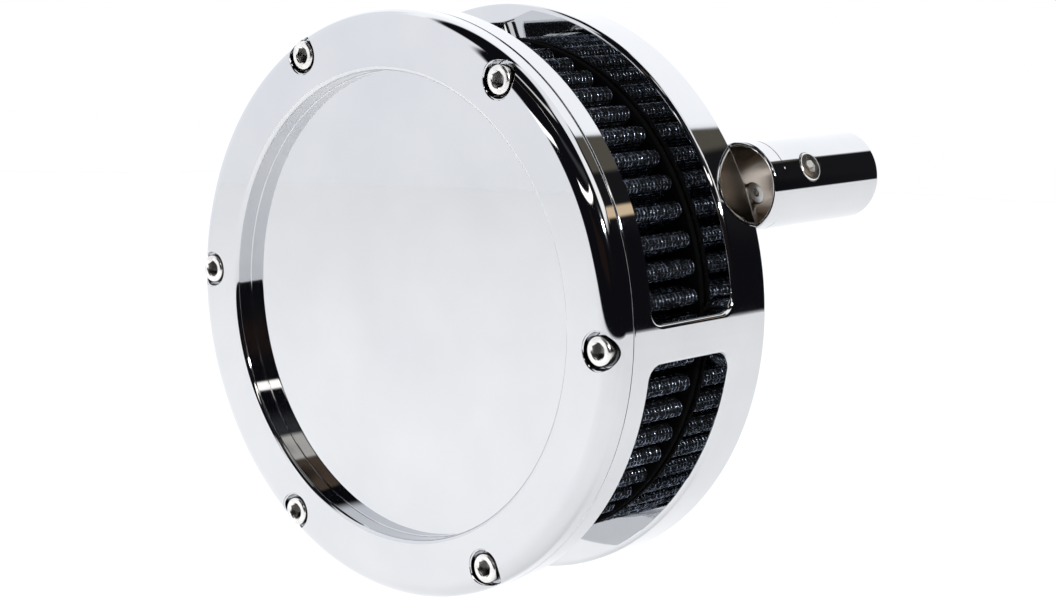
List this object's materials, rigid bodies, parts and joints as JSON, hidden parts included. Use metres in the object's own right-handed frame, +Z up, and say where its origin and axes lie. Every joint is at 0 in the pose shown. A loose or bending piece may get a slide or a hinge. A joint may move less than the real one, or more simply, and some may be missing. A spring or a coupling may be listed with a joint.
{
  "type": "motorcycle air cleaner",
  "caption": "Round chromed air cleaner with a screwed front cover, open side windows, a pleated ring filter and rear breather tubes.",
  "frame": {"origin": "centre of the inlet on the rear face of the housing, the face that bolts to the throttle body", "axes": "+Y back towards the engine along the air cleaner's axis, -Y out through the cover, +X to the right seen from the cover, +Z up"},
  "size_m": [0.1818, 0.1197, 0.1778],
  "materials": {
    "cover_chrome": "mirror polished chrome plate",
    "housing_chrome": "mirror polished chrome plate",
    "tube_chrome": "mirror polished chrome plate",
    "cover_screw_steel": "bright turned stainless steel",
    "screw_steel": "bright stainless steel",
    "machined_aluminium": "machined, satin",
    "seal_rubber": "matt black rubber",
    "filter_rubber": "moulded black rubber",
    "filter_gauze": "pleated dark gauze",
    "wire_screen": "fine woven wire, dark coated"
  },
  "bodies": {
    "housing_body": {"housing": "housing_chrome", "inlet_ring": "machined_aluminium", "throttle_screw_1": "screw_steel", "throttle_screw_2": "screw_steel", "throttle_screw_3": "screw_steel", "throttle_seal": "seal_rubber", "breather_tube_right": "tube_chrome", "tube_access_plug_right": "screw_steel", "tube_retaining_screw_right": "screw_steel", "tube_bracket_right": "machined_aluminium", "bracket_screw_right_1": "screw_steel", "bracket_screw_right_2": "screw_steel", "tube_end_bush_right": "machined_aluminium", "tube_end_seal_right": "seal_rubber", "breather_tube_left": "tube_chrome", "tube_access_plug_left": "screw_steel", "tube_retaining_screw_left": "screw_steel", "tube_bracket_left": "machined_aluminium", "bracket_screw_left_1": "screw_steel", "bracket_screw_left_2": "screw_steel", "tube_end_bush_left": "machined_aluminium", "tube_end_seal_left": "seal_rubber"},
    "cover_body": {"cover": "cover_chrome", "cover_screw_1": "cover_screw_steel", "cover_screw_2": "cover_screw_steel", "cover_screw_3": "cover_screw_steel", "cover_screw_4": "cover_screw_steel", "cover_screw_5": "cover_screw_steel", "cover_screw_6": "cover_screw_steel"},
    "filter_body": {"filter_front_cap": "filter_rubber", "filter_rear_cap": "filter_rubber", "filter_media": "filter_gauze", "filter_outer_screen": "wire_screen", "filter_inner_screen": "wire_screen"}
  },
  "joints": [
    {"name": "cover_off", "type": "slide", "parent": "housing_body", "child": "cover_body", "axis": [0, -1, 0], "range_m": [0, 0.16]},
    {"name": "filter_out", "type": "slide", "parent": "housing_body", "child": "filter_body", "axis": [0, -1, 0], "range_m": [0, 0.08]}
  ],
  "couplings": [
    {"joint": "filter_out", "follows": "cover_off", "ratio": 0.5}
  ]
}
